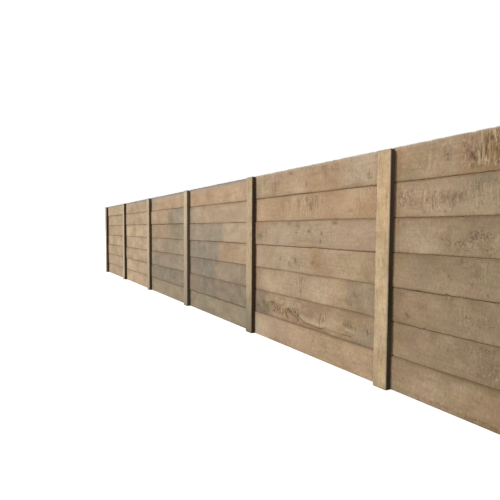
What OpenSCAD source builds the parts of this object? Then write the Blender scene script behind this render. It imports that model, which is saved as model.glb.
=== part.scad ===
// Precast concrete boundary wall: H-section posts with planks dropped into their grooves.
// X runs along the wall, Y through it (the front faces -Y) and Z up from ground level.
// The origin is on the base of the middle post, at its centre. Sizes are in millimetres.

/* [Wall run] */
// Whole bays, each between two posts
bays = 6; // [1:1:6]
// Planks stacked on edge in each bay
courses = 7; // [1:1:8]

/* [Plank] */
// Length of a plank, from end to end
plank_length = 2180; // [900:10:3000]
// Height of one plank, which is the height of a course
plank_height = 300; // [150:5:400]
// Thickness of a plank
plank_thickness = 50; // [40:1:75]
// Chamfer on every long arris, where two of them make the V of a bed joint
plank_arris = 5; // [2:0.5:10]
// Chamfer on the upright arrises at a plank's ends
plank_end_arris = 4; // [2:0.5:8]

/* [Post] */
// Width of a post's face, along the wall
post_width = 150; // [130:1:220]
// Thickness of a leg of the H at its lip, in front of or behind the groove
leg_thickness = 58; // [40:1:90]
// Depth of a groove, from the side of the post to its root
groove_depth = 45; // [30:1:55]
// How much one flank of a groove opens out between its root and its mouth, so that the mould draws
groove_draft = 2; // [0.5:0.5:6]
// Chamfer on the four outer corners of a post
post_arris = 8; // [3:0.5:15]
// Chamfer on the lips of the grooves
lip_arris = 4; // [1:0.5:8]
// Chamfer round the head of a post
head_arris = 6; // [2:0.5:12]
// How far the head of a post stops below the top of the planks
head_drop = 10; // [0:1:60]

/* [Fit] */
// Room left between the root of a groove and the end of a plank
end_gap = 5; // [1:0.5:15]
// Play of a plank through the wall, at the roots of its grooves
plank_play = 10; // [2:0.5:14]
// Gap left where a plank leans on the flank of a groove
seat_gap = 0.3; // [0.1:0.1:0.6]

/* [Hidden] */
// A post, seen from above
groove_root = plank_thickness + plank_play;
groove_mouth = groove_root + 2 * groove_draft;
post_depth = groove_mouth + 2 * leg_thickness;
web_width = post_width - 2 * groove_depth;
wall_height = courses * plank_height;
post_height = wall_height - head_drop;

// Centre to centre of two posts, which the plank sets
bay_pitch = plank_length + 2 * end_gap + web_width;
middle_post = floor(bays / 2) + 1;

// A plank's flat face ends this far from the root of the groove, where the groove is this wide
seat_depth = end_gap + plank_end_arris;
seat_width = groove_root + 2 * groove_draft * seat_depth / groove_depth;
// How far a plank stands off the middle of the wall when it leans on a flank
lean_shift = (seat_width - plank_thickness) / 2 - seat_gap;
// The flank that each course leans on, from the ground up: -1 the front one, 1 the back one, 0 neither
leans = [-1, 1, 0, -1, 0, 1, 1];
// Courses by which this pattern moves on from one bay to the next
lean_step = 3;

post_colour = [0.78, 0.68, 0.53];
plank_colour = [0.66, 0.56, 0.45];

function post_name(p) = str("post_", p);
function plank_name(b, c) = str("bay_", b, "_plank_", c);
function post_x(p) = (p - middle_post) * bay_pitch;
function bay_x(b) = (post_x(b) + post_x(b + 1)) / 2;
function lean(b, c) = leans[(c - 1 + lean_step * (bays - b)) % len(leans)];

// Rectangle about the origin with its four corners cut at 45 degrees
module chamfered_rectangle(x, y, cut) {
    polygon([
        [-x / 2, -y / 2 + cut], [-x / 2 + cut, -y / 2],
        [x / 2 - cut, -y / 2], [x / 2, -y / 2 + cut],
        [x / 2, y / 2 - cut], [x / 2 - cut, y / 2],
        [-x / 2 + cut, y / 2], [-x / 2, y / 2 - cut]
    ]);
}

// Upright outline of a head: square at the foot, with its two top corners cut
module headed_rectangle(width, height, cut) {
    polygon([
        [-width / 2, 0], [width / 2, 0],
        [width / 2, height - cut], [width / 2 - cut, height],
        [-width / 2 + cut, height], [-width / 2, height - cut]
    ]);
}

// Plan of the groove in the +X side of a post, past the side of the post so that it cuts through,
// with its flanks opening from the root and its lips chamfered
module groove_plan() {
    side = post_width / 2;
    root = side - groove_depth;
    // half width of the groove where the lip chamfer starts
    neck = groove_root / 2 + groove_draft * (groove_depth - lip_arris) / groove_depth;
    lip = groove_mouth / 2 + lip_arris;
    polygon([
        [root, -groove_root / 2], [side - lip_arris, -neck],
        [side, -lip], [side + lip_arris, -lip],
        [side + lip_arris, lip], [side, lip],
        [side - lip_arris, neck], [root, groove_root / 2]
    ]);
}

// Plan of a post: an H, with a groove in each side
module post_plan() {
    difference() {
        chamfered_rectangle(post_width, post_depth, post_arris);
        groove_plan();
        mirror([1, 0]) groove_plan();
    }
}

// One post, standing on its foot, with its head chamfered on all four sides
module post(p) {
    color(post_colour)
    translate([post_x(p), 0, 0])
    intersection() {
        linear_extrude(height = post_height) post_plan();
        rotate([90, 0, 0])
            linear_extrude(height = post_depth, center = true)
            headed_rectangle(post_width, post_height, head_arris);
        rotate([90, 0, 90])
            linear_extrude(height = post_width, center = true)
            headed_rectangle(post_depth, post_height, head_arris);
    }
}

// One plank on its long edge, between the grooves of its bay and leaning as its course does
module plank(b, c) {
    color(plank_colour)
    translate([bay_x(b), lean(b, c) * lean_shift, (c - 0.5) * plank_height])
    intersection() {
        rotate([90, 0, 90])
            linear_extrude(height = plank_length, center = true)
            chamfered_rectangle(plank_thickness, plank_height, plank_arris);
        linear_extrude(height = plank_height, center = true)
            chamfered_rectangle(plank_length, plank_thickness, plank_end_arris);
    }
}

for (p = [1 : bays + 1])
    post(p);
for (b = [1 : bays]) for (c = [1 : courses])
    plank(b, c);
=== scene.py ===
import functools
import math
import bpy
import numpy as np
from mathutils import Matrix, Vector


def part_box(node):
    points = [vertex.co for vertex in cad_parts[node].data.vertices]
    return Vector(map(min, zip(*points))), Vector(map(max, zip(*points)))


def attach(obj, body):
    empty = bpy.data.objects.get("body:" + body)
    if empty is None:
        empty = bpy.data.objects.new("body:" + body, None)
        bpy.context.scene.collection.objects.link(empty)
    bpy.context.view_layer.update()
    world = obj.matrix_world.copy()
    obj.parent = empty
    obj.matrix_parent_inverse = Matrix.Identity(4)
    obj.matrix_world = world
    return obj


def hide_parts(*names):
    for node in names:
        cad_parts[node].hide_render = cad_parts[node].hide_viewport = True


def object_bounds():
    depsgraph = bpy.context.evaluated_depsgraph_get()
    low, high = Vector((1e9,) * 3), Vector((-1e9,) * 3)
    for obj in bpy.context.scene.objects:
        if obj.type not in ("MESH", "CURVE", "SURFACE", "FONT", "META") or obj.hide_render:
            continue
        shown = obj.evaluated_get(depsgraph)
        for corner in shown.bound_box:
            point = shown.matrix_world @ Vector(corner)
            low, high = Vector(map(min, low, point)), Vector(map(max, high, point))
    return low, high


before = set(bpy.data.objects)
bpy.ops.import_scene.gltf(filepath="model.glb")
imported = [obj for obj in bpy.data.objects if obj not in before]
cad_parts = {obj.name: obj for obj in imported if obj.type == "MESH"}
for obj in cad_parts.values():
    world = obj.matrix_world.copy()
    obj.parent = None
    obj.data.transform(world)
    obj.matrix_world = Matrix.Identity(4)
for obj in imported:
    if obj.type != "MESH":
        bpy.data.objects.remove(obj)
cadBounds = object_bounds()
print("frame loaded:", len(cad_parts), "pieces of concrete")

mm = 0.001
bayCount = 6
courseCount = 7
wallTop = cadBounds[1].z
sharpAngle = 32                     # degrees; gentler corners than this are shaded smooth


def hexColour(text):
    # sRGB hex to the linear values that shaders use
    parts = [int(text[i:i + 2], 16) / 255 for i in (1, 3, 5)]
    return [c / 12.92 if c <= 0.04045 else ((c + 0.055) / 1.055) ** 2.4 for c in parts] + [1.0]


def dusty(level):
    # a plain level as a tint: browner where it darkens, as dirt is, and paler where it lightens
    return [1 + (level - 1) * lean for lean in (0.92, 1.0, 1.18)] + [1]


def softNoise(x, z, seed):
    # smooth noise from -1 to 1, with one bump for each unit of x and z
    size = 128
    table = np.random.default_rng(seed).uniform(-1, 1, (size, size))
    xi, zi = np.floor(x).astype(int), np.floor(z).astype(int)
    fx, fz = x - xi, z - zi
    fx, fz = fx * fx * (3 - 2 * fx), fz * fz * (3 - 2 * fz)
    low = table[xi % size, zi % size] * (1 - fx) + table[(xi + 1) % size, zi % size] * fx
    high = table[xi % size, (zi + 1) % size] * (1 - fx) + table[(xi + 1) % size, (zi + 1) % size] * fx
    return low * (1 - fz) + high * fz


def bumpy(x, z, length, height, seed):
    # soft noise with bumps of this length and height in millimetres
    return softNoise(x / (length * mm), z / (height * mm), seed)


def ease(low, high, value):
    t = np.clip((value - low) / (high - low), 0, 1)
    return t * t * (3 - 2 * t)


def placeInScene(name, data):
    thing = bpy.data.objects.new(name, data)
    bpy.context.scene.collection.objects.link(thing)
    return thing


def closedSkin(rings, around, turned=False):
    # faces that join each ring of points to the next and close both ends, turned over if asked
    i, j = np.meshgrid(np.arange(rings - 1), np.arange(around), indexing="ij")
    k = (j + 1) % around
    corners = [i * around + j, (i + 1) * around + j, (i + 1) * around + k, i * around + k]
    first = list(range(around))
    last = [(rings - 1) * around + r for r in first]
    if turned:
        corners, first, last = corners[:1] + corners[:0:-1], first[::-1], last[::-1]
    return np.stack(corners, -1).reshape(-1, 4).tolist() + [first, last[::-1]]


def castPiece(name, points, faces, fields, material, cadNode):
    # a mesh with one number at each point for every field, standing for its solid in the frame
    mesh = bpy.data.meshes.new(name)
    mesh.from_pydata(points.reshape(-1, 3).tolist(), [], faces)
    for key, values in fields.items():
        layer = mesh.attributes.new(key, "FLOAT", "POINT")
        layer.data.foreach_set("value", np.ravel(values).astype(np.float32))
    mesh.polygons.foreach_set("use_smooth", [True] * len(mesh.polygons))
    mesh.set_sharp_from_angle(angle=math.radians(sharpAngle))
    mesh.materials.append(material)
    piece = placeInScene(name, mesh)
    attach(piece, "root")
    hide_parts(cadNode)
    return sum(len(face) - 2 for face in faces)


def addNode(tree, kind, inputs=None, output=0, stops=None, **settings):
    # one shader node; inputs are values, hex colours or other nodes' outputs, and one of its own comes back
    node = tree.nodes.new("ShaderNode" + kind)
    for key, value in settings.items():
        setattr(node, key, value)
    for socket, value in (inputs or {}).items():
        if isinstance(value, bpy.types.NodeSocket):
            tree.links.new(value, node.inputs[socket])
        else:
            node.inputs[socket].default_value = hexColour(value) if isinstance(value, str) else value
    for i, (place, shade) in enumerate(stops or []):
        element = node.color_ramp.elements[i] if i < 2 else node.color_ramp.elements.new(place)
        element.position = place
        element.color = hexColour(shade) if isinstance(shade, str) else dusty(shade)
    return node.outputs[output] if node.outputs else node


def clearNodes(owner):
    # empties the nodes of a material or world, and gives back addNode for it
    owner.use_nodes = True
    owner.node_tree.nodes.clear()
    return functools.partial(addNode, owner.node_tree)


# what makes a Mix node mix colours, and its sockets, which Blender tells apart by number only
mixColours = {"output": 2, "data_type": "RGBA"}
share, under, over = 0, 6, 7


def startConcrete(name, finish, marks):
    # what both finishes begin with: the marks that the mesh carries, the patterns and the bare concrete
    material = bpy.data.materials.new(name)
    node = clearNodes(material)
    mark = {key: node("Attribute", output="Fac", attribute_name=key) for key in marks}
    away = node("VectorMath", {0: mark["cast"], 1: finish["castShift"]}, operation="MULTIPLY")
    mark["place"] = node("VectorMath", {0: node("TexCoord", output="Object"), 1: away}, operation="ADD")
    pattern = {}
    for key, (wide, high, detail, roughness, distortion) in finish["patterns"].items():
        scale = [1 / (size * mm) for size in (wide, min(wide, high), high)]
        laid = node("Mapping", {"Vector": mark["place"], "Scale": scale})
        pattern[key] = node("TexNoise", {"Vector": laid, "Scale": 1, "Detail": detail, "Roughness": roughness,
                                         "Distortion": distortion})
    level = {key: node("ValToRGB", {0: pattern[key]}, stops=stops) for key, stops in finish["levels"].items()}
    bare = node("ValToRGB", {0: pattern["clouds"]}, stops=finish["base"])
    rosy, green = finish["tintRange"]
    greener = node("MapRange", {"Value": pattern["tint"], "From Min": rosy, "From Max": green})
    tint = node("Mix", {share: greener, under: finish["roseTint"], over: finish["greenTint"]}, **mixColours)
    return material, node, mark, pattern, level, bare, tint


def finishConcrete(node, finish, pattern, colour, coats, relief):
    # what both end with: coats of colour from the first to the last, relief in millimetres and a matt gloss
    for strength, coat, blend in coats:
        colour = node("Mix", {share: strength, under: colour, over: coat}, **mixColours, blend_type=blend)
    height = 0
    for field, depth in [(pattern[key], depth) for key, depth in finish["relief"].items()] + relief:
        height = node("Math", {0: field, 1: depth, 2: height}, operation="MULTIPLY_ADD")
    bump = node("Bump", {"Strength": 1.0, "Distance": mm, "Height": height})
    smoothest, roughest = finish["roughness"]
    gloss = node("MapRange", {"Value": pattern["mottle"], "To Min": smoothest, "To Max": roughest})
    shader = node("BsdfPrincipled", {"Base Color": colour, "Roughness": gloss, "IOR": 1.5,
                                     "Specular IOR Level": 0.25, "Normal": bump})
    node("OutputMaterial", {"Surface": shader})


# What a user would change about the planks' finish. Each pattern has the width and height of its grains in
# millimetres, its detail, roughness and distortion. Sand and small stones are drawn about three times as
# coarse as they are, so that they show. Levels are how light a pattern makes the concrete, by its value.
plankFinish = {
    "base": [(0.36, "#A28B71"), (0.5, "#B0997E"), (0.64, "#BDA68B")],
    "roseTint": "#FFF8F9", "greenTint": "#FDFDF3", "tintRange": (0.38, 0.62),
    "greyGreen": "#868376", "greyBrown": "#90857A", "clay": "#BF9A7A", "ochre": "#96703F", "rose": "#B0917D",
    "moss": "#857A5E", "bloom": "#C2B39C", "headBloom": "#CDC5BA", "crust": "#6B6D6F",
    # gouge: the dark of dirt and painted shade in troughs and holes, also the colour of damp
    "mud": "#5A4426", "milk": "#D8C19D", "gouge": "#5F4B35", "dirt": "#705839",
    "patterns": {
        "clouds": (450, 450, 4, 0.5, 0), "tint": (120, 120, 2, 0.5, 0), "mottle": (80, 80, 6, 0.62, 0),
        "pebble": (15, 30, 3, 0.65, 0), "grit": (2.5, 2.5, 2, 0.5, 0), "smear": (190, 20, 3, 0.5, 0),
        "dash": (14, 38, 2.5, 0.6, 0.9), "comb": (12, 150, 2, 0.5, 0.4), "scar": (13, 13, 3, 0.6, 0.6),
        "daub": (26, 52, 3, 0.5, 1.2), "clusters": (55, 55, 2, 0.5, 0), "hue": (300, 300, 3, 0.5, 0),
    },
    "levels": {
        "mottle": [(0.28, 0.78), (0.5, 0.98), (0.72, 1.16)], "smear": [(0.3, 0.84), (0.5, 0.99), (0.7, 1.12)],
        "pebble": [(0.25, 0.66), (0.5, 0.97), (0.75, 1.3)],
    },
    # Marks of the float and of mud: the pattern, the values between which it comes up, what there is of it
    # below them, where it lies, its strength and colour, and its relief in millimetres.
    "tooling": [
        # the marks in gouge colour, which lie low, hold dirt with painted shade
        ("dash", 0.47, 0.35, 0, "rough", 0.55, "gouge", -1.2),
        ("comb", 0.48, 0.38, 0, "combs", 0.6, "gouge", -1.0),
        ("daub", 0.55, 0.46, 0.2, "mud", 1.0, "mud", 0),
        ("scar", 0.54, 0.64, 0, "pits", 0.8, "gouge", -2.0),
        ("dash", 0.54, 0.66, 0, "rough", 0.75, "milk", 2.0),
        ("comb", 0.53, 0.64, 0, "combs", 0.6, "milk", 1.5),
    ],
    "handMarks": {"daubs": (0.9, "mud"), "milk": (0.55, "milk")},
    "greyRange": (0.36, 0.56), "greyMottle": 0.8, "smearStrength": 0.65, "dampStrength": 0.35,
    "pebbleStrength": 0.55, "roughLeast": 0.6, "roughMost": 0.74, "roughLift": 0.35,
    # air holes: millimetres apart, share of the places that have one, and more where the face is pitted
    "airHoleSpacing": 17, "airHoleSize": 0.2, "airHoleShare": 0.015, "pittedShare": 0.25,
    "airHoleStrength": 0.7, "airHoleDepth": 2.0,
    "relief": {"grit": 0.5, "mottle": 5.0, "pebble": 2.2, "smear": 0.8},    # millimetres
    "roughness": (0.84, 0.97),
    "castShift": (17.0, 5.0, 29.0),     # metres that the patterns move from one casting to another, at most
}
plankMarks = ("greyWash", "clay", "ochre", "rose", "moss", "bloom", "headBloom", "damp", "mud", "daubs",
              "milk", "dashes", "combs", "pits", "mottled", "crust", "tone", "dirt", "cast")


def castPlankConcrete():
    # Plain concrete cast flat and floated by hand, then left to rain and mud. It gives a matt buff
    # face with soft clouds, the short pale licks of the float, pitted patches and dirty arrises, with painted
    # shade beside the joints and in hollows.
    finish = plankFinish
    name = "castPlankConcrete"
    material, node, mark, pattern, level, bare, tint = startConcrete(name, finish, plankMarks)

    # grey that lies over several planks, and damp
    brown, green = finish["greyRange"]
    hue = node("MapRange", {"Value": pattern["hue"], "From Min": brown, "From Max": green})
    grey = node("Mix", {share: hue, under: finish["greyBrown"], over: finish["greyGreen"]}, **mixColours)
    grey = node("Mix", {share: finish["greyMottle"], under: grey, over: level["mottle"]}, **mixColours,
                blend_type="MULTIPLY")
    damp = node("Math", {0: mark["damp"], 1: finish["dampStrength"]}, operation="MULTIPLY")
    coats = [(1.0, tint, "MULTIPLY"), (mark["mottled"], level["mottle"], "MULTIPLY"),
             (finish["smearStrength"], level["smear"], "MULTIPLY"), (mark["greyWash"], grey, "MIX")]
    for stain in ("clay", "ochre", "rose", "moss", "bloom", "headBloom"):
        coats.append((mark[stain], finish[stain], "MIX"))
    coats += [(damp, finish["gouge"], "MIX"), (finish["pebbleStrength"], level["pebble"], "MULTIPLY")]

    # licks of the float: pale crests with dirt and painted shade between them, in clusters where the face was
    # left rough
    rough = node("Math", {0: mark["dashes"], 1: finish["roughLift"], 2: pattern["clusters"]},
                 operation="MULTIPLY_ADD")
    rough = node("MapRange", {"Value": rough, "From Min": finish["roughLeast"],
                              "From Max": finish["roughMost"]})
    mark["rough"] = node("Math", {0: rough, 1: mark["dashes"]}, operation="MULTIPLY")
    relief = []
    for key, none, full, least, where, strength, shade, depth in finish["tooling"]:
        shown = node("MapRange", {"Value": pattern[key], "From Min": none, "From Max": full, "To Min": least})
        shown = node("Math", {0: shown, 1: mark[where]}, operation="MULTIPLY")
        relief.append((shown, depth))
        coats.append((node("Math", {0: shown, 1: strength}, operation="MULTIPLY"), finish[shade], "MIX"))
    for where, (strength, shade) in finish["handMarks"].items():
        shown = node("Math", {0: mark[where], 1: strength}, operation="MULTIPLY")
        coats.append((shown, finish[shade], "MIX"))

    # air holes, one to a cell and in few cells unless the face is pitted, coloured dark with painted shade
    # and dirt
    cells = node("TexVoronoi", {"Vector": mark["place"], "Scale": 1 / (finish["airHoleSpacing"] * mm)})
    near = node("Math", {0: cells, 1: finish["airHoleSize"]}, operation="LESS_THAN")
    lot = node("SeparateColor", {0: cells.node.outputs["Color"]})
    many = node("Math", {0: mark["pits"], 1: finish["pittedShare"], 2: finish["airHoleShare"]},
                operation="MULTIPLY_ADD")
    drawn = node("Math", {0: lot, 1: many}, operation="LESS_THAN")
    hole = node("Math", {0: near, 1: drawn}, operation="MULTIPLY")
    relief.append((hole, -finish["airHoleDepth"]))
    darkened = node("Math", {0: hole, 1: finish["airHoleStrength"]}, operation="MULTIPLY")
    coats += [(darkened, finish["gouge"], "MIX"), (1.0, mark["tone"], "MULTIPLY"),
              (mark["dirt"], finish["dirt"], "MIX"), (mark["crust"], finish["crust"], "MIX")]
    finishConcrete(node, finish, pattern, bare, coats, relief)
    return material


# What a user would change about the posts' finish, told in the same way. Sand is drawn coarser than it is.
postFinish = {
    "base": [(0.34, "#BFA37F"), (0.5, "#CEB390"), (0.64, "#DAC29F")],
    "roseTint": "#FFF8F6", "greenTint": "#FAFDF4", "tintRange": (0.38, 0.62), "bleached": "#CDC0AA",
    # near-black colours of the soot and painted shade down the sides
    "sootAndShadeHues": [(0.4, "#3D2D2D"), (0.5, "#332C26"), (0.6, "#2A2C1F")], "sootAndShadeBrown": "#3A2812",
    "drip": "#9A7B57", "dirt": "#4A3A2B", "grime": "#8F8672",
    "patterns": {
        "clouds": (260, 260, 4, 0.5, 0), "tint": (70, 70, 2, 0.5, 0), "mottle": (55, 55, 5, 0.6, 0),
        "pebble": (14, 14, 3, 0.65, 0), "grit": (2, 2, 2, 0.5, 0), "streak": (16, 130, 3, 0.5, 0.3),
        "drip": (40, 325, 3, 0.5, 0),
    },
    "levels": {
        "mottle": [(0.28, 0.84), (0.5, 0.99), (0.72, 1.12)], "streak": [(0.3, 0.76), (0.5, 0.99), (0.7, 1.1)],
        "pebble": [(0.25, 0.78), (0.5, 0.99), (0.75, 1.17)],
    },
    "relief": {"grit": 0.4, "mottle": 2.0, "pebble": 1.0, "streak": 1.6},   # millimetres
    "patternStrength": 0.85, "overlaySpecks": 0.8, "dripLeast": 0.62, "dripMost": 0.74, "dripStrength": 0.55,
    "roughness": (0.8, 0.95), "castShift": (13.0, 7.0, 23.0),
}
postMarks = ("sootAndShade", "sootAndShadeHue", "sootAndShadeWarmth", "bleach", "dirt", "grime", "tone", "cast")


def mouldedPostConcrete():
    # Concrete from a steel mould: closer and paler than the planks, with faint upright drag lines
    # and rust-brown drips on its faces, and black grime with painted shade down its sides and grooves.
    finish = postFinish
    name = "mouldedPostConcrete"
    material, node, mark, pattern, level, bare, tint = startConcrete(name, finish, postMarks)
    drips = node("MapRange", {"Value": pattern["drip"], "From Min": finish["dripLeast"],
                              "From Max": finish["dripMost"], "To Max": finish["dripStrength"]})
    # soot with painted shade: the sides and grooves are coloured near black where shade falls between post
    # and planks
    hue = node("Math", {0: pattern["clouds"], 1: mark["sootAndShadeHue"]}, operation="ADD")
    sootAndShade = node("ValToRGB", {0: hue}, stops=finish["sootAndShadeHues"])
    sootAndShade = node("Mix", {share: mark["sootAndShadeWarmth"], under: sootAndShade, over: finish["sootAndShadeBrown"]}, **mixColours)
    sootAndShade, bleached = (node("Mix", {share: finish["overlaySpecks"], under: shade, over: level["pebble"]},
                           **mixColours, blend_type="MULTIPLY") for shade in (sootAndShade, finish["bleached"]))
    coats = [(finish["patternStrength"], layer, "MULTIPLY") for layer in (tint, *level.values())]
    coats += [(drips, finish["drip"], "MIX"), (mark["bleach"], bleached, "MIX"),
              (mark["grime"], finish["grime"], "MIX"), (1.0, mark["tone"], "MULTIPLY"),
              (mark["sootAndShade"], sootAndShade, "MIX"), (mark["dirt"], finish["dirt"], "MIX")]
    finishConcrete(node, finish, pattern, bare, coats, [])
    return material


# What a user would change about the planks. A tuple has one value for each bay, from the far end.
plank = {
    "length": 2180 * mm, "height": 300 * mm,
    "hiddenEnd": 38 * mm,               # length in a groove, out of sight
    # the mesh, closer in near bays: millimetres from column to column, and rows up a face
    "columns": (22, 22, 22, 12, 7, 7), "rows": (10, 10, 10, 14, 26, 26), "backRows": 7,
    "edgeRows": (0, 5, 9, 15, 24),      # rows beside an arris, in millimetres from it
    # planks with hand marks get a closer mesh between two places along them, in millimetres
    "closeWork": {(6, 7): (300, 900), (6, 6): (300, 660), (5, 2): (420, 2020)},
    "closeColumns": 4 * mm, "closeRows": 44,
    "arris": 5 * mm, "endArris": 4 * mm, "chip": 9 * mm,
    "jointFill": {4: 0.8, 5: 0.6},      # share of the arrises that the dirt in some bays leaves bare
    "jointWander": 3 * mm, "jointBend": 450 * mm,   # how far a bed joint strays from level, and its bends
    # how far some joints lie below their level line
    "jointDrop": {(4, 6): 9 * mm, (4, 5): 7 * mm, (4, 4): 3 * mm, (5, 6): 3 * mm, (6, 5): 3 * mm,
                  (6, 1): 3 * mm},
    "headRag": 4 * mm, "headBreaks": (28 * mm, 200 * mm),   # how far its top edge is broken, and the breaks
    # grey crust and pale bloom along the top edge: how strong, and within how many millimetres they fade
    "crust": ((1.2, 28), (1.2, 28), (1.2, 26), (1.2, 24), (0.2, 8), (0.1, 5)),
    "headBloom": ((0.6, 45), (0.6, 45), (0.6, 45), (0.6, 40), (1.1, 15), (1.1, 11)),
    "bayBloom": (0.22, 0.18, 0.14, 0.08, 0, 0),
    "warp": 1.4 * mm, "lump": 0.5 * mm, "floatMark": 0.8 * mm, "pit": 1.2 * mm, "daub": 0.8 * mm,
    "ridge": 2.2 * mm,                  # of cement milk
    # bumps of each unevenness: their length and height in millimetres, no height where they run along an
    # arris, and a number that sets their draw apart from the others
    "bumps": {
        "chips": (35, 0, 1), "worn": (250, 0, 2), "warp": (600, 250, 3), "lump": (70, 60, 4),
        "floated": (400, 300, 6), "floatMark": (24, 130, 7), "rough": (220, 120, 11), "dirt": (300, 0, 12),
        "blotch": (140, 45, 15), "wideBlotch": (300, 80, 16),
    },
    "mottled": (0.75, 0.75, 0.75, 0.7, 0.48, 0.48), "smooth": {(6, 4): 0.3},    # some planks are less mottled
    "blotchy": (0.05, 0.06, 0.07, 0.07, 0.01, 0.01),
    # how light each bay is, and within it each plank from the ground up
    "bayTone": (1.12, 1.20, 1.09, 1.04, 1.08, 0.97), "toneSpread": 0.03,
    "plankTone": (
        (0.95, 0.95, 0.93, 1, 1, 1, 1.05), (1, 0.94, 1, 1.06, 1, 1, 0.94),
        (0.97, 0.9, 0.94, 0.95, 1, 1, 1.06), (0.95, 0.93, 0.96, 0.96, 1, 1, 1.04),
        (1, 0.96, 1, 1.005, 1, 1, 0.98), (1.005, 1.025, 1.035, 1.03, 0.99, 1.01, 1.04),
    ),
    # dirt at a joint, above it and below it: strength and reach of the dirt line, then of the painted shade
    # in a soft band beside it
    "jointDirtAndShade": {"below": (0.50, 16 * mm, 0.38, 38 * mm), "above": (0.56, 17 * mm, 0.26, 22 * mm)},
    # share of that dirt and painted shade that is kept, in some joints and under planks that stand proud
    "jointDirtKept": {(6, 3): 0.85, (6, 2): 0.75, (5, 4): 0.2, (5, 3): 0.9, (5, 2): 0.85}, "proudDirtKept": 0.7,
    "splash": 0.4, "splashReach": 30 * mm,      # at the foot of the wall
    "postDarkening": 0.3, "postDarkeningFrom": 20 * mm, "postDarkeningTo": 70 * mm,    # darker towards the nearer post
    # how softly each stain ends, in millimetres, and how far its outline strays: reach and size of the bends
    "stainEdge": {"greyWash": 150, "clay": 90, "ochre": 40, "rose": 55, "moss": 45, "bloom": 90, "damp": 130,
                  "mud": 12, "dashes": 30, "combs": 25, "pits": 14},
    "ragged": ((14, 40), (22, 160)), "widelyRagged": (70, 400, 250), "wideFrom": 80,
    "patchiness": (0.3, 110, 90),       # how much stains vary, and the length and height of a patch
    "shake": {"milk": 2 * mm, "daubs": 5 * mm}, "shakeSize": (16, 22),      # how unsteady hand marks are
    # how strong hand marks are and how they fade: lot and size; those wider than this are as much weaker
    "strokeStrength": 0.7, "strokeFades": ((0.35, 18), (0.2, 70)), "fullWidth": 24,
}

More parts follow.
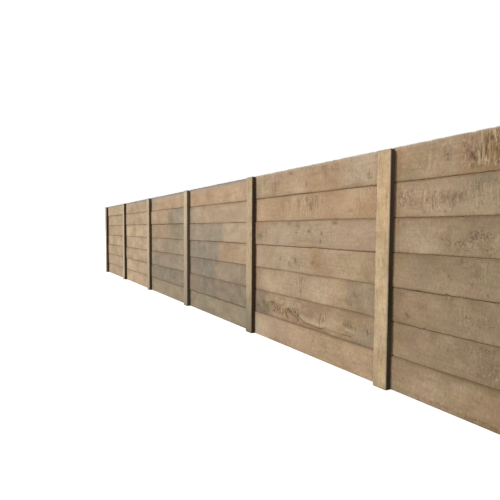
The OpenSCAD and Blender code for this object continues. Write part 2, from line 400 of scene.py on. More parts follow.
# Marks left by hand while the face was wet: raised lines of cement milk, and daubs that hold dirt. Each
# plank, by bay and course, has their width in millimetres, then the places along and up it that they pass.
strokes = {"milk": {
    (6, 7): [(8, (332, 198), (350, 180), (357, 175), (362, 75)), (7, (385, 200), (362, 180)),
        (8, (455, 215), (490, 250), (500, 270)), (8, (525, 265), (540, 235), (565, 210)),
        (8, (675, 235), (690, 200)), (7, (730, 200), (750, 120)), (7, (775, 190), (785, 140), (770, 80)),
        (7, (820, 200), (820, 110), (815, 40)), (6, (752, 150), (756, 55)),
        (10, (850, 280), (865, 220), (870, 170)), (7, (865, 140), (855, 70)), (6, (800, 120), (796, 50)),
        (6, (836, 215), (842, 150), (836, 90))],
    (6, 6): [(9, (330, 220), (330, 130)), (9, (345, 120), (355, 90), (350, 60)), (8, (440, 200), (442, 140)),
        (9, (410, 115), (412, 100)), (8, (450, 90), (454, 60)), (8, (510, 72), (514, 48)),
        (8, (500, 118), (503, 100))],
    (5, 3): [(10, (1000, 200), (1000, 150))],
    (5, 2): [(32, (1000, 110), (1050, 90), (1100, 75), (1300, 70), (1370, 75), (1470, 100)),
        (10, (1375, 110), (1375, 70)), (9, (1385, 200), (1386, 150)),
        (10, (1420, 200), (1416, 140), (1418, 80)), (10, (1245, 130), (1246, 100)),
        (26, (1720, 108), (1840, 104))],
}, "daubs": {
    (6, 7): [(12, (510, 170), (512, 125)), (20, (700, 150), (718, 105)), (11, (768, 200), (766, 100)),
        (14, (800, 240), (800, 125)), (12, (840, 240), (838, 140))],
    (6, 6): [(13, (345, 137), (346, 130)), (7, (415, 200), (411, 162)), (54, (475, 160), (490, 145)),
        (50, (525, 165), (520, 150)), (48, (575, 160), (565, 145)), (38, (625, 150), (628, 135)),
        (7, (395, 100), (396, 60)), (10, (422, 105), (424, 90)), (12, (570, 96), (572, 82))],
    (6, 4): [(12, (555, 156), (557, 146)), (12, (575, 130), (577, 120)), (14, (735, 105), (737, 94)),
        (12, (850, 46), (852, 36))],
    (6, 3): [(28, (190, 86), (200, 76))],
    (5, 7): [(40, (240, 190), (242, 175)), (36, (490, 165), (495, 95)), (38, (560, 170), (555, 150)),
        (44, (1090, 110), (1095, 95)), (46, (1350, 252), (1400, 240)), (44, (1980, 105), (2010, 70)),
        (34, (790, 255), (820, 240)), (46, (1400, 190), (1400, 150))],
    (5, 6): [(44, (1100, 230), (1130, 170), (1146, 122)), (44, (1174, 190), (1180, 130)),
        (50, (950, 210), (952, 130)), (44, (1748, 88), (1760, 80))],
    (5, 5): [(26, (1355, 162), (1358, 148)), (24, (1340, 80), (1342, 64)), (22, (916, 164), (930, 158)),
        (32, (1530, 266), (1580, 262)), (36, (940, 255), (970, 235)), (30, (1145, 178), (1165, 170)),
        (46, (430, 272), (530, 266)), (46, (770, 268), (810, 262)), (52, (110, 120), (190, 115)),
        (44, (285, 180), (290, 120))],
    (5, 4): [(24, (592, 142), (606, 132)), (46, (1200, 130), (1240, 150)), (44, (780, 100), (790, 80)),
        (44, (900, 150), (910, 120))],
    (5, 3): [(8, (980, 250), (980, 205)), (8, (1012, 250), (1014, 175)), (8, (1030, 172), (1034, 140)),
        (8, (1000, 130), (1002, 80)), (40, (1830, 175), (1860, 155)), (46, (1740, 90), (1780, 70))],
    (5, 2): [(23, (440, 185), (450, 160)), (25, (485, 185), (500, 140), (530, 115)),
        (21, (475, 90), (500, 90)), (23, (550, 165), (560, 100)), (23, (615, 170), (585, 100)),
        (20, (620, 90), (600, 70)), (21, (670, 120), (675, 90)), (23, (720, 125), (730, 100), (770, 50)),
        (26, (750, 140), (790, 155), (800, 115)), (26, (800, 115), (830, 135), (850, 110), (870, 100)),
        (21, (905, 135), (930, 145)), (21, (920, 100), (910, 85)), (20, (960, 115), (965, 90)),
        (20, (960, 50), (990, 75)), (21, (980, 120), (1030, 80), (1080, 55)),
        (11, (1080, 48), (1350, 38), (1420, 58), (1500, 50), (1800, 50)),
        (10, (1340, 180), (1340, 110), (1340, 55)), (9, (1360, 200), (1360, 150)),
        (9, (1392, 200), (1392, 165)), (17, (1400, 150), (1402, 132)), (10, (1445, 210), (1445, 180)),
        (11, (1690, 165), (1692, 142)), (11, (1720, 165), (1724, 142)), (11, (1750, 163), (1752, 142)),
        (11, (1800, 165), (1803, 142)), (12, (1860, 155), (1863, 132)), (10, (2010, 160), (2010, 112))],
}}

# Stains and rough places. Each plank, by bay and course, has its own, in millimetres: from and to along it,
# from and to up it unless they cover its height, and their strength in percent.
stains = {"greyWash": {
    (6, 6): [(620, 1200, 200, 300, 38), (500, 1600, 20)], (6, 5): [(100, 450, 10), (500, 1900, 16)],
    (6, 4): [(700, 1300, 130, 300, 28), (200, 2000, 18)], (6, 3): [(450, 2100, 18)],
    (6, 2): [(450, 2100, 15)], (5, 7): [(30, 200, 20, 260, 25)],
    (5, 5): [(0, 250, 20, 240, 15), (750, 1400, 60, 240, 30), (1400, 2200, 20)], (5, 4): [(0, 1150, 10)],
    (5, 3): [(1800, 2200, 20, 260, 32)],
    (5, 2): [(0, 260, 75), (0, 420, 0, 130, 75), (1800, 2200, 0, 100, 50), (1950, 2200, 50, 140, 45)],
    (5, 1): [(0, 200, 25)], (4, 7): [(0, 100, 0, 160, 40)], (4, 6): [(0, 240, 70)], (4, 5): [(0, 1400, 65)],
    (4, 4): [(0, 1240, 90)], (4, 3): [(0, 1050, 95), (1000, 2200, 50)],
    (4, 2): [(0, 1200, 95), (1200, 2200, 70)], (4, 1): [(0, 2200, 70)], (3, 7): [(0, 400, 30)],
    (3, 6): [(950, 2200, 35), (1300, 2200, 0, 260, 75)], (3, 5): [(1050, 2200, 35), (1400, 2200, 65)],
    (3, 4): [(600, 2200, 55), (0, 600, 30)], (3, 3): [(0, 2200, 75)], (3, 2): [(0, 2200, 85)],
    (3, 1): [(0, 2200, 50)],
}, "clay": {
    (6, 7): [(50, 160, 200, 280, 45)], (6, 6): [(80, 280, 60, 250, 25)], (6, 5): [(240, 410, 170, 280, 40)],
    (6, 4): [(400, 560, 60, 200, 20)], (6, 3): [(150, 400, 50, 220, 20)],
    (5, 7): [(600, 1100, 100, 300, 20), (1100, 1750, 35)], (5, 6): [(0, 2200, 35), (1600, 2150, 30, 200, 25)],
    (5, 4): [(1000, 1160, 20, 300, 12)], (4, 7): [(0, 2200, 50)], (4, 6): [(200, 580, 25), (580, 2200, 40)],
    (4, 5): [(1400, 2200, 25)], (4, 4): [(1200, 1500, 35), (1500, 2200, 15)], (3, 7): [(400, 2000, 50)],
    (3, 6): [(620, 1280, 40)], (3, 5): [(550, 1000, 30)],
}, "ochre": {
    (6, 7): [(600, 1200, 45), (770, 900, 100, 280, 70), (900, 1100, 120, 300, 50), (60, 90, 35)],
    (6, 6): [(60, 90, 30)], (6, 5): [(75, 100, 35)], (6, 4): [(0, 300, 15)], (6, 3): [(0, 160, 25)],
    (6, 2): [(0, 140, 50, 300, 25)], (6, 1): [(720, 2200, 15)], (5, 6): [(1800, 2100, 20, 200, 22)],
    (5, 4): [(1190, 1340, 70, 270, 25)],
    (5, 2): [(440, 700, 50, 190, 30), (700, 1000, 30, 150, 40), (1000, 1460, 0, 60, 40)],
    (5, 1): [(500, 580, 45, 65, 50)],
}, "rose": {
    (6, 7): [(650, 760, 80, 250, 60)], (6, 6): [(140, 280, 230, 300, 40), (400, 700, 100, 260, 45)],
    (6, 5): [(160, 300, 20, 120, 30)], (6, 4): [(80, 250, 10, 170, 10), (660, 800, 0, 80, 50)],
    (6, 2): [(240, 400, 80, 240, 28)], (6, 1): [(100, 320, 120, 280, 25)],
    (5, 7): [(1600, 1950, 100, 250, 15)], (5, 5): [(0, 850, 30), (1600, 2200, 45)],
    (5, 4): [(1340, 1600, 40), (0, 400, 30)], (5, 3): [(1750, 1900, 25), (0, 200, 45)],
    (5, 2): [(430, 690, 0, 120, 60), (0, 200, 120, 300, 40), (710, 1030, 0, 120, 60)],
    (5, 1): [(250, 1300, 30)], (4, 2): [(0, 600, 40)], (3, 4): [(550, 800, 50)], (3, 3): [(900, 1250, 40)],
}, "moss": {
    (6, 6): [(550, 1600, 20)], (6, 5): [(400, 2200, 10), (470, 560, 20, 200, 35)],
    (6, 4): [(0, 2200, 24), (220, 270, 20, 180, 35), (840, 920, 240, 290, 40)],
    (6, 3): [(0, 2200, 18), (80, 140, 120, 280, 30)], (6, 2): [(0, 2200, 15), (60, 120, 160, 280, 35)],
    (6, 1): [(0, 2200, 10), (550, 1000, 250, 300, 60)], (5, 5): [(50, 200, 60, 140, 45)],
    (5, 4): [(1600, 2020, 30, 280, 30)], (5, 3): [(1750, 2200, 28)],
    (5, 2): [(240, 430, 100, 190, 80), (1900, 2060, 270, 300, 60), (1750, 2200, 25)], (4, 1): [(0, 2200, 35)],
    (3, 6): [(1150, 1450, 0, 240, 75)], (3, 5): [(1250, 1750, 50, 300, 75)], (3, 1): [(0, 2200, 35)],
}, "bloom": {
    (6, 5): [(40, 400, 30, 260, 18), (240, 460, 40, 100, 30)], (5, 7): [(1660, 2050, 20, 270, 40)],
    (5, 5): [(200, 850, 35)], (5, 4): [(0, 1150, 20)], (5, 3): [(200, 1500, 50, 280, 20)],
    (5, 2): [(420, 1000, 190, 280, 18), (1000, 1550, 50, 140, 35)],
    (5, 1): [(0, 700, 20), (0, 200, 0, 260, 40)], (4, 6): [(0, 600, 45), (600, 2200, 35)],
    (4, 5): [(300, 1300, 20), (1300, 2200, 50)], (3, 7): [(0, 600, 25)], (3, 5): [(0, 500, 25)],
}, "damp": {
    (6, 7): [(420, 640, 45), (640, 1100, 65)], (6, 6): [(450, 2200, 30)], (6, 5): [(450, 2200, 25)],
    (6, 4): [(300, 2200, 50)], (6, 3): [(0, 2200, 80)], (6, 2): [(200, 2200, 80)], (6, 1): [(0, 400, 30)],
    (5, 3): [(1750, 2200, 20)], (5, 2): [(0, 420, 100), (900, 2200, 50)], (5, 1): [(300, 2200, 10)],
    (4, 4): [(0, 1100, 15)], (4, 3): [(0, 1200, 25)], (4, 2): [(0, 2200, 60)], (4, 1): [(0, 800, 25)],
    (3, 2): [(0, 2200, 35)],
}, "mud": {
    (6, 7): [(660, 750, 90, 200, 30), (780, 900, 120, 280, 35), (930, 1050, 100, 280, 45)],
    (6, 6): [(100, 260, 120, 220, 15), (400, 600, 110, 200, 15)], (6, 4): [(600, 680, 240, 285, 40)],
    (6, 1): [(300, 950, 0, 50, 35)],
    (5, 2): [(430, 680, 60, 190, 55), (710, 980, 50, 170, 42), (240, 440, 110, 180, 35), (0, 420, 0, 130, 35),
        (400, 1000, 0, 50, 20), (1000, 1950, 0, 45, 25)],
    (5, 1): [(400, 600, 0, 30, 30)],
}, "dashes": {
    (6, 7): [(100, 600, 60, 300, 30), (600, 1000, 20, 300, 75)],
    (6, 6): [(50, 270, 70, 250, 68), (310, 600, 20, 180, 100), (560, 700, 100, 210, 80),
        (700, 1300, 20, 260, 70)],
    (6, 5): [(620, 950, 50, 200, 60)], (6, 4): [(740, 860, 130, 240, 50)], (6, 3): [(620, 900, 80, 260, 45)],
    (6, 2): [(420, 600, 50, 280, 45), (700, 1000, 20, 280, 55)],
    (6, 1): [(600, 850, 100, 250, 40), (50, 250, 20, 250, 40)],
    (5, 7): [(350, 580, 50, 260, 60), (700, 1400, 120, 300, 55), (1450, 2100, 50, 300, 50)],
    (5, 6): [(700, 1400, 60, 260, 50)], (5, 5): [(120, 420, 80, 240, 60), (950, 1500, 80, 280, 60)],
    (5, 4): [(750, 1200, 20, 240, 60)], (5, 3): [(880, 1080, 60, 260, 60)],
    (5, 2): [(380, 1020, 60, 260, 100), (1200, 1550, 60, 220, 60), (1600, 2150, 60, 260, 50)],
    (5, 1): [(700, 1900, 60, 280, 50)],
}, "combs": {
    (6, 7): [(700, 1020, 40, 290, 65), (280, 560, 80, 270, 25)],
    (6, 6): [(280, 420, 40, 220, 50), (700, 1000, 40, 260, 42)], (6, 4): [(770, 850, 130, 250, 35)],
    (6, 3): [(620, 700, 100, 220, 30)],
    (5, 6): [(580, 900, 40, 260, 40), (950, 1340, 50, 270, 60), (1740, 2000, 50, 280, 25)],
    (5, 3): [(920, 1060, 40, 270, 50)], (5, 2): [(1280, 1460, 80, 220, 70)],
    (5, 1): [(1100, 1340, 160, 300, 35)], (4, 6): [(600, 1400, 40, 280, 25)],
    (3, 2): [(900, 1800, 40, 280, 40)],
}, "pits": {
    (6, 7): [(300, 500, 150, 300, 25)], (6, 6): [(90, 250, 80, 220, 45), (360, 600, 40, 160, 30)],
    (6, 5): [(470, 560, 70, 180, 65), (600, 760, 60, 130, 95), (700, 880, 120, 180, 90),
        (800, 950, 30, 90, 85)],
    (6, 4): [(210, 280, 20, 140, 60)], (6, 3): [(680, 920, 80, 200, 50)],
    (6, 2): [(440, 480, 160, 200, 80), (760, 950, 20, 280, 55), (200, 280, 100, 260, 40)],
    (5, 7): [(750, 1250, 180, 300, 45), (1500, 1800, 160, 300, 50), (400, 550, 100, 200, 40)],
    (5, 5): [(100, 240, 80, 180, 60), (1120, 1200, 150, 220, 60), (1390, 1460, 60, 170, 70)],
    (5, 4): [(500, 660, 120, 200, 30), (780, 1100, 50, 220, 45)],
    (5, 3): [(980, 1030, 40, 260, 60), (1720, 1950, 40, 140, 40)],
    (5, 2): [(1720, 1860, 100, 180, 70), (2000, 2100, 80, 240, 40)], (3, 6): [(1200, 1340, 60, 200, 50)],
    (3, 5): [(1400, 1620, 80, 280, 50)],
}}


def stainField(kind, bay, course, along, up, seed):
    # strength of one kind of stain over a plank; its outline is soft and ragged
    total = np.zeros_like(along)
    edge = plank["stainEdge"][kind]
    ragged = 0
    for number, (reach, size) in enumerate(plank["ragged"], 5):
        ragged = ragged + reach * mm * bumpy(along, up, size, size, seed + number)
    if edge > plank["wideFrom"]:
        reach, *size = plank["widelyRagged"]
        ragged = ragged + reach * mm * bumpy(along, course * plank["height"] + up, *size, bay + 60)
    lot, *size = plank["patchiness"]
    patchy = 0.85 + lot * bumpy(along, up, *size, seed + 8)
    for start, end, *band, strength in stains[kind].get((bay, course), []):
        start, end, bottom, top = (place * mm for place in (start, end, *(band or (0, 300))))
        soft = min(edge * mm, (end - start) * 0.35)
        flat = min(edge * mm, 20 * mm, (top - bottom) * 0.35)
        inside = np.ones_like(along)
        if start > 0:
            inside = inside * ease(-soft, soft, along - start + ragged)
        if end < plank["length"]:
            inside = inside * ease(-soft, soft, end - along + ragged)
        if bottom > 0:
            inside = inside * ease(-flat, flat, up - bottom + 0.7 * ragged)
        if top < plank["height"]:
            inside = inside * ease(-flat, flat, top - up + 0.7 * ragged)
        total = np.maximum(total, strength / 100 * inside * patchy)
    return np.clip(total, 0, 1)


def strokeField(kind, bay, course, along, up, seed):
    # strength of one kind of hand mark over a plank, from 0 to 1
    total = np.zeros_like(along)
    strength = plank["strokeStrength"]
    for number, (lot, size) in enumerate(plank["strokeFades"], 9):
        strength = strength + lot * bumpy(along, up, size, size, seed + number)
    shake, size = plank["shake"][kind], plank["shakeSize"]
    along = along + shake * bumpy(along, up, *size, seed + 13)
    up = up + shake * bumpy(along, up, *size, seed + 14)
    for width, *path in strokes[kind].get((bay, course), []):
        away = np.full_like(along, 1.0)
        path = [(x * mm, z * mm) for x, z in path]
        for (ax, az), (bx, bz) in zip(path[:-1], path[1:]):
            sx, sz = bx - ax, bz - az
            t = np.clip(((along - ax) * sx + (up - az) * sz) / (sx * sx + sz * sz), 0, 1)
            away = np.minimum(away, np.hypot(along - ax - t * sx, up - az - t * sz))
        fade = np.exp(-(away / (0.55 * width * mm)) ** 2)
        total = np.maximum(total, strength * min(1, plank["fullWidth"] / width) * fade)
    return np.clip(total, 0, 1)


def jointLine(bay, joint, x):
    # height of a bed joint over its level line; the two planks that meet there share it
    if joint == 0:
        return x * 0
    wander = softNoise(x / plank["jointBend"], x * 0 + joint * 3.7, 900 + bay)
    if joint == courseCount:
        short, long = plank["headBreaks"]
        broken = softNoise(x / short, x * 0, 970 + bay) + 0.6 * softNoise(x / long, x * 0, 980 + bay)
        return -0.3 * plank["jointWander"] * (1 + wander) - plank["headRag"] * ease(-0.2, 1.2, broken)
    tilt = softNoise(x * 0 + bay * 5.3, x * 0 + joint * 2.9, 950)
    return plank["jointWander"] * (0.7 * wander + 0.4 * tilt - 0.6) - plank["jointDrop"].get((bay, joint), 0)


def jointShade(place, distance):
    # dirt that lies in a bed joint, with painted shade in a soft band beside it, at this distance from the
    # joint
    line, lineReach, shade, shadeReach = plank["jointDirtAndShade"][place]
    return line * (1 - ease(plank["arris"], lineReach, distance)) + shade * np.exp(-distance / shadeReach)


def faceRows(count):
    # shares of a face's height for its rows of points, close together near the arrises
    edge = np.array(plank["edgeRows"]) * mm / plank["height"]
    inner = np.linspace(edge[-1], 1 - edge[-1], count + 2)[1:-1]
    return np.concatenate([edge, inner, 1 - edge[::-1]])


def plankColumns(low, high, bay, course):
    # places along a plank for its columns of points
    hidden, close = plank["hiddenEnd"], plank["closeWork"].get((bay, course))
    spacing = plank["columns"][bay - 1] * mm
    xs = np.linspace(low.x + hidden, high.x - hidden, int((high.x - low.x - 2 * hidden) / spacing) + 1)
    if close:
        start, end = low.x + close[0] * mm, low.x + close[1] * mm
        fine = np.linspace(start, end, int((end - start) / plank["closeColumns"]) + 1)
        xs = np.concatenate([xs[xs < start - mm], fine, xs[xs > end + mm]])
    ends = np.array([0, plank["endArris"], hidden / 2])
    return np.concatenate([low.x + ends, xs, high.x - ends[::-1]])


def buildPlank(bay, course, material):
    name = f"bay_{bay}_plank_{course}"
    low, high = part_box(name)
    seed = bay * 40 + course
    draw = np.random.default_rng(seed)
    xs = plankColumns(low, high, bay, course)
    foot = low.z + jointLine(bay, course - 1, xs)
    head = np.minimum(high.z + jointLine(bay, course, xs), wallTop)
    rows = plank["closeRows"] if (bay, course) in plank["closeWork"] else plank["rows"][bay - 1]
    front, back = faceRows(rows), faceRows(plank["backRows"])[::-1]
    X, T = np.meshgrid(xs, np.concatenate([front, back]), indexing="ij")
    behind = np.broadcast_to(np.arange(T.shape[1]) >= len(front), T.shape)
    Z = foot[:, None] + (head - foot)[:, None] * T
    along, up = X - low.x, T * (high.z - low.z)
    toFoot, toHead = up, (high.z - low.z) - up
    toEdge, arrisLine = np.minimum(toFoot, toHead), np.where(toFoot < toHead, 0.0, 7.0)
    backSide = np.where(behind, 500, 0)

    def bumps(kind, skew=0):
        # one kind of unevenness; the two faces and the two arrises each have their own
        length, height, number = plank["bumps"][kind]
        climb = up / (height * mm) if height else arrisLine
        return softNoise(X / (length * mm) + backSide + skew, climb, seed + number)

    # how far the surface is cut back from the plank's flat faces
    chips, worn = bumps("chips"), bumps("worn")
    chipped = plank["chip"] * ease(0.45, 0.9, chips) * ease(-0.1, 0.6, worn)
    arris = (plank["arris"] * (1 + 0.35 * chips) + chipped) * plank["jointFill"].get(bay, 1)
    floated = 0.25 + 0.75 * ease(-0.3, 0.5, bumps("floated"))
    depth = 0.8 * np.maximum(arris - toEdge, 0)
    depth += plank["warp"] * (0.5 + 0.5 * bumps("warp")) + plank["lump"] * bumps("lump")
    depth += plank["floatMark"] * bumps("floatMark", 4 * up) * floated * ease(0, 20 * mm, toEdge)

    # the back has the stains of another bay, from the other end, and no hand marks
    fields = {}
    for kind in stains:
        ahead = stainField(kind, bay, course, along, up, seed)
        rear = stainField(kind, bayCount + 1 - bay, course, (high.x - low.x) - along, up, seed)
        fields[kind] = np.where(behind, rear, ahead)
    for kind in strokes:
        fields[kind] = np.where(behind, 0, strokeField(kind, bay, course, along, up, seed))
    fields["dashes"] = np.maximum(fields["dashes"], 0.16 + 0.3 * ease(0.0, 0.8, bumps("rough")))
    fields["bloom"] = np.maximum(fields["bloom"], plank["bayBloom"][bay - 1])
    depth += plank["pit"] * fields["pits"] * ease(0.0, 0.9, chips) + plank["daub"] * fields["daubs"]
    raised = plank["ridge"] * fields["milk"]
    depth = np.maximum(depth - raised, -raised)
    endCut = np.clip(plank["endArris"] - np.minimum(along, high.x - X), 0, None)
    Y = np.where(behind, high.y - depth - endCut, low.y + depth + endCut)

    # dirt in the bed joints with painted shade in soft bands beside them, splashes at the foot of the wall,
    # and darker towards the post
    wide = 0.75 + 0.25 * bumps("dirt")
    dirt = 0 * up
    if course < courseCount:
        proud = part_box(f"bay_{bay}_plank_{course + 1}")[0].y < low.y - mm
        wide = wide * (plank["proudDirtKept"] if proud else 1.0)
        wide = wide * np.where(toHead < toFoot, plank["jointDirtKept"].get((bay, course), 1), 1)
        dirt += wide * jointShade("below", toHead)
    if course > 1:
        jointKept = plank["jointDirtKept"].get((bay, course - 1), 1)
        dirt = np.maximum(dirt, wide * jointKept * jointShade("above", toFoot))
    else:
        splash = plank["splash"] * np.exp(-up / plank["splashReach"])
        dirt = np.maximum(dirt, splash * ease(-0.4, 0.6, worn + 0.4 * chips))
    toPost = high.x - X - plank["hiddenEnd"] + 20 * mm * chips
    awayFromPost = ease(plank["postDarkeningFrom"], plank["postDarkeningTo"], toPost)
    dirt = np.maximum(dirt, plank["postDarkening"] * (1 - awayFromPost))
    fields["dirt"] = np.clip(dirt, 0, 1)
    for kind in ("crust", "headBloom"):
        strength, reach = plank[kind][bay - 1]
        strength = strength * (course == courseCount)
        fields[kind] = np.clip(strength * (0.8 + 0.2 * worn) * np.exp(-toHead / (reach * mm)), 0, 1)
    tone = plank["bayTone"][bay - 1] * plank["plankTone"][bay - 1][course - 1]
    tone = tone * (1 + plank["toneSpread"] * draw.standard_normal())
    fields["tone"] = tone * (1 + plank["blotchy"][bay - 1] * (bumps("blotch") + bumps("wideBlotch")))
    fields["mottled"] = up * 0 + plank["smooth"].get((bay, course), plank["mottled"][bay - 1])
    fields["cast"] = up * 0 + draw.uniform()
    points = np.stack([X, Y, Z], -1)
    return castPiece(f"castPlank_{bay}_{course}", points, closedSkin(*X.shape), fields, material, name)


# What a user would change about the posts; lengths in metres. Values by post stand for the posts that differ.
post = {
    "width": 150 * mm, "depth": 180 * mm,
    "grooveDepth": 45 * mm, "grooveRoot": 60 * mm, "grooveMouth": 64 * mm,
    "arris": 8 * mm, "lipArris": 4 * mm, "headArris": 6 * mm,
    "rowStep": 14 * mm, "chip": 7 * mm, "unevenness": 1.0 * mm,
    # bumps of each unevenness: height and width in millimetres, and a number that sets their draw apart
    "bumps": {
        "worn": (35, 1000, 0), "wideWorn": (200, 1000, 1), "flat": (300, 100, 2), "streaky": (400, 30, 4),
        "wavy": (120, 50, 5), "patchy": (35, 50, 6),
    },
    "headBump": (40, 40),               # length and depth, in millimetres, of the bumps on its head
    "bleach": (0.3, 0.5, 0.6, 0.5, 0.15, 0.05, 0.1),            # how grey each post's faces have weathered
    "patchy": {1: 0.5, 2: 0.5, 3: 0.4, 4: 0.35, 5: 0.35},       # how patchy that weathering is
    "tone": {1: 0.72, 2: 1.05, 3: 0.96, 4: 1.04, 5: 0.87},      # how light it was cast
    "cornerSootAndShade": 0.7, "cornerSootAndShadeAt": {3: 0.1, 4: 0.0, 5: 1.0},    # soot and painted shade on the corner beside the face
    "sootAndShadeStrength": {3: 0.9, 4: 0.85},                                 # how dark the soot and painted shade on its sides are
    "sootAndShadeWarmth": {1: 0.6, 2: 0.6, 3: 0.85, 4: 0.85, 5: 0.85},  # how brown the soot and painted shade on them is
    "headWorn": {6: 7 * mm},            # how far its head is worn down
    "freeSide": {1: -1, 7: 1},          # the sides where the wall ends, whose lips get much less soot and painted shade
    "headCrust": 0.7, "headCrustReach": 14 * mm, "footDirt": 0.35, "footDirtReach": 50 * mm,
    # heights up a post, and a value at each: grey grime on its faces, the lean of its soot and painted shade
    # from plum towards green, and how light its lifts of concrete are
    "grime": {3: ([0, 0.6, 1.2], [0.4, 0.2, 0]), 4: ([0, 0.5, 1.3, 2.0], [0.85, 0.6, 0.3, 0]),
              5: ([0, 0.15, 0.5, 1.0], [0.95, 0.9, 0.3, 0]), 6: ([0, 0.12], [0.3, 0])},
    "sootAndShadeHue": {6: ([0, 1.35, 1.5, 1.75, 1.9], [0.08, 0.10, -0.10, -0.12, 0.0])},
    "lifts": {5: ([1.8, 2.05], [1.0, 1.12]),
              6: ([0, 0.2, 0.42, 0.55, 0.8, 0.9, 1.0, 1.32, 1.44, 1.85, 2.0],
                  [1.0, 0.93, 0.85, 0.92, 0.97, 1.03, 0.90, 0.92, 1.14, 1.15, 1.03])},
}


def postPlan():
    # a quarter of the H, from the middle of the front face to the middle of the groove's root,
    # then mirrored: x, y and how much soot and painted shade the point gets, as it lies sheltered from light
    # and rain
    w, d = post["width"] / 2, post["depth"] / 2
    mouth, root, inner = post["grooveMouth"] / 2, post["grooveRoot"] / 2, w - post["grooveDepth"]
    arris, lip = post["arris"], post["lipArris"]
    quarter = [(x, -d, 0.0) for x in np.linspace(0, w - arris - 16 * mm, 5)]
    quarter += [(w - arris - 8 * mm, -d, 0.0), (w - arris - 3 * mm, -d, 0.0), (w - arris, -d, 0.0)]
    quarter += [(w - arris / 2, -d + arris / 2, 0.08), (w, -d + arris, post["cornerSootAndShade"])]
    quarter += [(w, y, 1.0) for y in np.linspace(-d + arris + 4 * mm, -mouth - lip, 4)]
    quarter += [(w - lip, -mouth, 1.0), (w - post["grooveDepth"] / 2, -(mouth + root) / 2, 1.0)]
    quarter += [(inner, -root, 1.0), (inner, -root / 2, 1.0)]
    right = quarter + [(x, -y, s) for x, y, s in quarter[::-1]]
    left = [(-x, y, s) for x, y, s in right[::-1]][1:-1]
    return np.array(right + left)


def buildPost(number, material):
    name = f"post_{number}"
    low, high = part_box(name)
    seed = 3000 + number
    draw = np.random.default_rng(seed)
    plan, w, d = postPlan(), post["width"] / 2, post["depth"] / 2
    inset, arris, sliver = post["headArris"], post["arris"], 0.1 * mm
    head = high.z - post["headWorn"].get(number, 0)
    rows = np.concatenate([[0, 5 * mm], np.arange(0.02, head - 0.02, post["rowStep"]),
                           [head - inset - 3 * mm, head - inset, head]])
    X, Z = np.meshgrid(plan[:, 0], rows)
    Y, shadeAndShelter = np.meshgrid(plan[:, 1], rows)[0], np.meshgrid(plan[:, 2], rows)[0]
    corner = np.sign(X) + 3 * np.sign(Y)

    def bumps(kind, across, skew=0):
        # one kind of unevenness up the post, by the distance across a face or by a number for each corner
        height, width, number = post["bumps"][kind]
        return softNoise(Z / (height * mm), across / (width * mm) + skew, seed + number)

    # each outer corner has its own wear up its height
    near = np.clip(1 + (np.abs(X) + np.abs(Y) - (w + d - arris)) / (14 * mm), 0, 1)
    worn = 0.45 * bumps("worn", corner * 2.3) + 0.8 * bumps("wideWorn", corner * 2.3, 9)
    cut = near * post["chip"] * (0.06 + 0.94 * ease(0.1, 1.1, worn))
    flat = post["unevenness"] * (0.5 + 0.5 * bumps("flat", X, corner))
    onFace, onSide = np.abs(Y) > d - sliver, np.abs(X) > w - sliver
    Y = Y - np.sign(Y) * (0.6 * cut + np.where(onFace, flat, 0))
    X = X - np.sign(X) * (0.8 * cut + np.where(onSide, flat, 0))
    top = Z > head - sliver
    X = np.where(top, np.clip(X, -w + inset, w - inset), X)
    Y = np.where(top, np.clip(Y, -d + inset, d - inset), Y)
    Z = np.where(top, Z - mm * (0.5 + 0.5 * bumpy(X, Y, *post["headBump"], seed + 3)), Z)

    # the sides and grooves are coloured near black: painted shade of the recess, with soot
    corners = shadeAndShelter == post["cornerSootAndShade"]
    shadeAndShelter = np.where(corners, post["cornerSootAndShadeAt"].get(number, post["cornerSootAndShade"]), shadeAndShelter)
    openLips = (np.sign(X) == post["freeSide"].get(number, 0)) & (np.abs(Y) > post["grooveMouth"] / 2 + mm)
    shadeAndShelter = np.where(openLips, 0.3 * shadeAndShelter * (1 + worn), shadeAndShelter)
    streaky = 0.96 + 0.06 * bumps("streaky", Y)
    wavy = 0.12 * bumps("wavy", X)
    grime = np.interp(Z + wavy, *post["grime"].get(number, ([0, 1], [0.1, 0])))
    crust = post["headCrust"] * np.exp(-(head - Z) / post["headCrustReach"])
    # the two front arrises are worn down to pale cement
    bleach = post["bleach"][number - 1] + 0.4 * near * (1 - shadeAndShelter) * (0.7 + 0.3 * worn)
    bleach = bleach + post["patchy"].get(number, 0.1) * bumps("patchy", X, 5 * corner)
    lift = np.interp(Z + 0.3 * wavy, *post["lifts"].get(number, ([0], [1])))
    fields = {
        "sootAndShade": np.clip(shadeAndShelter * streaky * post["sootAndShadeStrength"].get(number, 1), 0, 1),
        "sootAndShadeHue": np.interp(Z + 0.3 * wavy, *post["sootAndShadeHue"].get(number, ([0], [0]))),
        "sootAndShadeWarmth": Z * 0 + post["sootAndShadeWarmth"].get(number, 0.1),
        "bleach": np.clip(bleach, 0, 1),
        "dirt": post["footDirt"] * np.exp(-Z / post["footDirtReach"]) * (1 - shadeAndShelter),
        "grime": np.maximum(grime, crust),
        "tone": lift * post["tone"].get(number, 1.0),
        "cast": Z * 0 + draw.uniform(),
    }
    points = np.stack([X + (low.x + high.x) / 2, Y, Z], -1)
    return castPiece(f"castPost_{number}", points, closedSkin(*X.shape, turned=True), fields, material, name)


plankMaterial, postMaterial = castPlankConcrete(), mouldedPostConcrete()
print("concrete mixed")
triangles = 0
for bay in range(1, bayCount + 1):
    for course in range(1, courseCount + 1):
        triangles += buildPlank(bay, course, plankMaterial)
print("planks cast,", triangles, "triangles")
for number in range(1, bayCount + 2):
    triangles += buildPost(number, postMaterial)
print("posts cast,", triangles, "triangles in all")

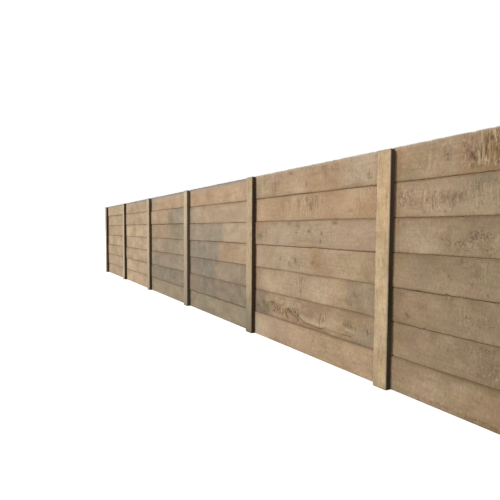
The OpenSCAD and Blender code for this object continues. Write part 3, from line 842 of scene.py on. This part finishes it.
studio = {
    # the floor shows nearly white, and gives back less light than it shows
    "floorColour": "#F4F3F1", "floorBounce": "#948F86", "floorGlow": 0.22, "floorReach": 300.0,
    "skyStrength": 0.5,
    # strength and softness, the side and height it comes from in degrees from straight in front, and shadows;
    # the fill lights the back, and throws no second shadow on the floor
    "lamps": {"key": (2.5, 9.0, 12.0, 47.0, True), "fill": (1.1, 40.0, 180.0, 12.0, False)},
}


def seenDirectly(node):
    # 1 where the camera sees the surface, straight or by reflection or through glass, and 0 for its light
    path = node("LightPath")
    seen = path
    for ray in ("Is Glossy Ray", "Is Transmission Ray"):
        seen = node("Math", {0: seen, 1: path.node.outputs[ray]}, operation="MAXIMUM")
    return seen


def paintedFloor():
    # Painted studio floor. It gives the eye an even, matt, nearly white ground.
    material = bpy.data.materials.new("paintedFloor")
    node = clearNodes(material)
    seen = seenDirectly(node)
    bounce, paint = studio["floorBounce"], studio["floorColour"]
    colour = node("Mix", {share: seen, under: bounce, over: paint}, **mixColours)
    strength = node("Math", {0: seen, 1: studio["floorGlow"]}, operation="MULTIPLY")
    glow = node("Emission", {"Strength": strength})
    shader = node("AddShader", {0: node("BsdfDiffuse", {"Color": colour}), 1: glow})
    node("OutputMaterial", {"Surface": shader})
    mesh = bpy.data.meshes.new("floor")
    reach = studio["floorReach"]
    mesh.from_pydata([(-reach, -reach, 0), (reach, -reach, 0), (reach, reach, 0), (-reach, reach, 0)], [],
                     [(0, 1, 2, 3)])
    mesh.materials.append(material)
    floor = placeInScene("floor", mesh)


def softSky():
    world = bpy.data.worlds.new("softSky")
    bpy.context.scene.world = world
    node = clearNodes(world)
    grey = [studio["skyStrength"]] * 3 + [1]
    level = node("Mix", {share: seenDirectly(node), under: grey, over: [1, 1, 1, 1]}, **mixColours)
    node("OutputWorld", {"Surface": node("Background", {"Color": level, "Strength": 1.0})})


def studioLamp(name, strength, softness, side, height, castsShadow):
    lamp = bpy.data.lights.new(name, "SUN")
    lamp.energy = strength
    lamp.angle = math.radians(softness)
    lamp.use_shadow = castsShadow
    side, height = math.radians(side), math.radians(height)
    level = math.cos(height)
    towards = Vector((-math.sin(side) * level, -math.cos(side) * level, math.sin(height)))
    placeInScene(name, lamp).rotation_euler = towards.to_track_quat("Z", "Y").to_euler()


paintedFloor()
softSky()
for name, settings in studio["lamps"].items():
    studioLamp(name, *settings)
print("studio lit")

# the camera stands in front of the near end and looks along the run; turn, down and roll are in degrees
view = {"place": (6.930, -2.890, 1.3885), "turn": 58.921, "down": 2.844, "roll": 0.304, "lens": 29.255,
        "sensor": 36.0}
cameraData = bpy.data.cameras.new("camera")
cameraData.sensor_width = view["sensor"]
cameraData.lens = view["lens"]
camera = placeInScene("camera", cameraData)
turn, down, roll = (math.radians(view[key]) for key in ("turn", "down", "roll"))
forward = Vector((-math.sin(turn) * math.cos(down), math.cos(turn) * math.cos(down), -math.sin(down)))
right = Vector((math.cos(turn), math.sin(turn), 0))
above = right.cross(forward)
rolledRight = right * math.cos(roll) + above * math.sin(roll)
rolledAbove = above * math.cos(roll) - right * math.sin(roll)
facing = Matrix((rolledRight, rolledAbove, -forward)).transposed().to_4x4()
camera.matrix_world = Matrix.Translation(view["place"]) @ facing
bpy.context.scene.camera = camera
bpy.context.scene.view_settings.view_transform = "Standard"
print("camera set")
